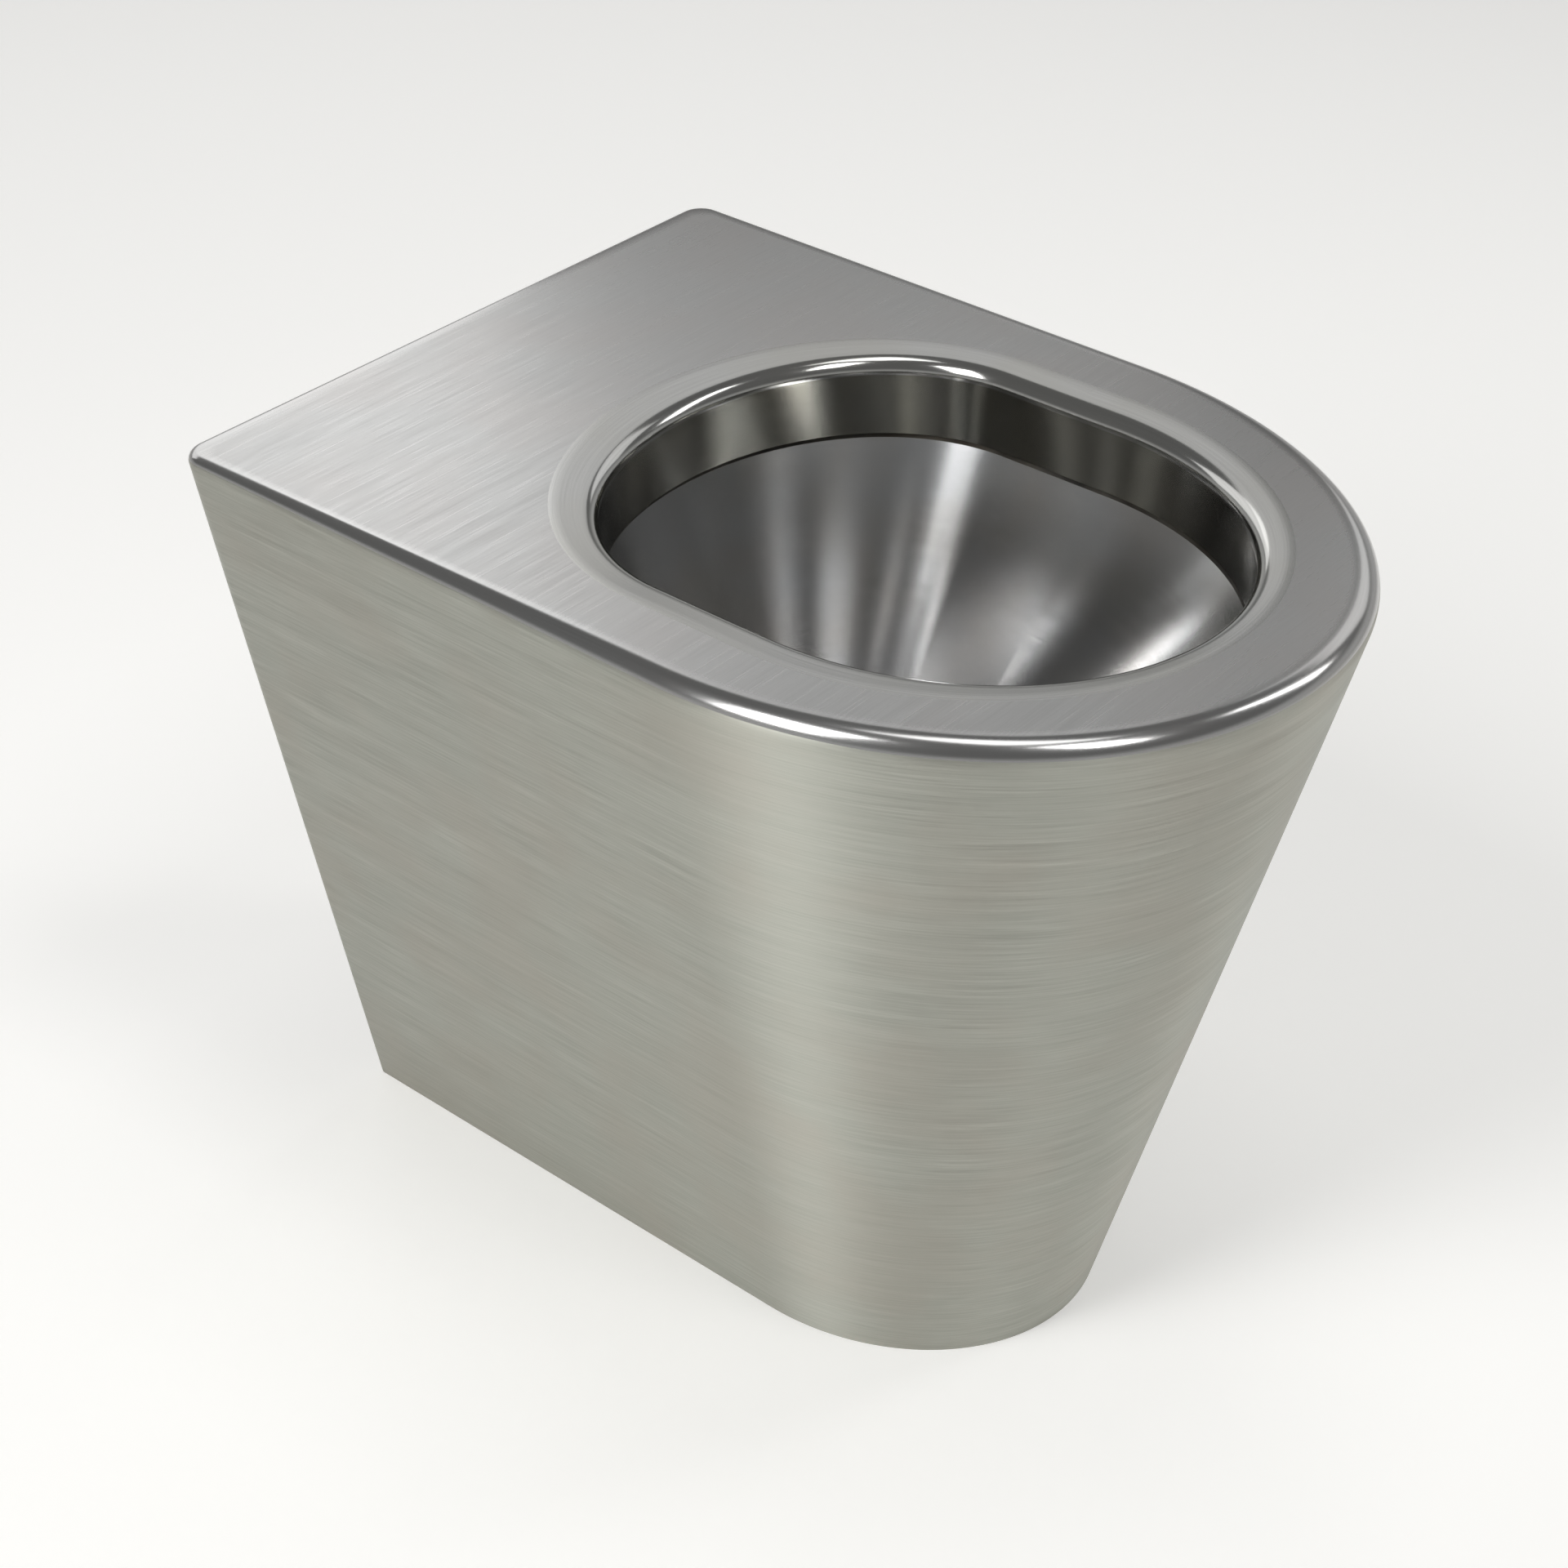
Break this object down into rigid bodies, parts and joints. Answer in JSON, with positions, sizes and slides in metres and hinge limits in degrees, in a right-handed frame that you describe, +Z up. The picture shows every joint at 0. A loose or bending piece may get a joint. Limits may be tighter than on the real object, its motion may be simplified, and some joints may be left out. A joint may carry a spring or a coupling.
{
  "type": "prison floor toilet",
  "caption": "Floor-standing stainless steel toilet pan for cells: flat deck, oval bowl with hidden flush rim, tapered casing, P-trap and rear outlet through the wall.",
  "frame": {"origin": "on the floor, below the middle of the outer box", "axes": "+X to the right for someone who stands in front of it, +Y towards the wall it stands against, +Z up"},
  "size_m": [0.348, 0.484, 0.41],
  "materials": {
    "deck_steel": "satin, fine cross-brushed",
    "casing_steel": "satin, brushed along the sheet",
    "bowl_steel": "polished satin, brushed round the bowl",
    "mill_steel": "mill finish sheet with weld tint",
    "tube_steel": "pickled welded tube",
    "fastener_steel": "bright stainless fasteners",
    "black_rubber": "matt moulded rubber",
    "damping_compound": "matt bitumen sheet",
    "tinned_brass": "stamped, dull"
  },
  "bodies": {
    "root": {"deck": "deck_steel", "side_skirt": "casing_steel", "bowl": "bowl_steel", "channel_floor": "mill_steel", "flush_channel": "mill_steel", "flush_inlet_box": "mill_steel", "flush_inlet_pipe": "tube_steel", "flush_inlet_seal": "black_rubber", "trap_inlet_leg": "tube_steel", "trap_u_bend": "tube_steel", "trap_riser": "tube_steel", "outlet_spigot": "tube_steel", "upper_wall_rail": "mill_steel", "lower_wall_rail": "mill_steel", "wall_fixing_nuts": "fastener_steel", "trap_saddle": "mill_steel", "floor_angle_left": "mill_steel", "floor_angle_right": "mill_steel", "floor_tie_front": "mill_steel", "floor_tie_rear": "mill_steel", "trap_rest_pad": "black_rubber", "deck_stiffener": "mill_steel", "rim_gusset_left": "mill_steel", "rim_gusset_right": "mill_steel", "rim_gusset_front": "mill_steel", "damping_pad_left": "damping_compound", "damping_pad_right": "damping_compound", "earth_stud": "fastener_steel", "earth_washers": "fastener_steel", "earth_tag": "tinned_brass", "earth_nut": "fastener_steel"}
  },
  "joints": []
}
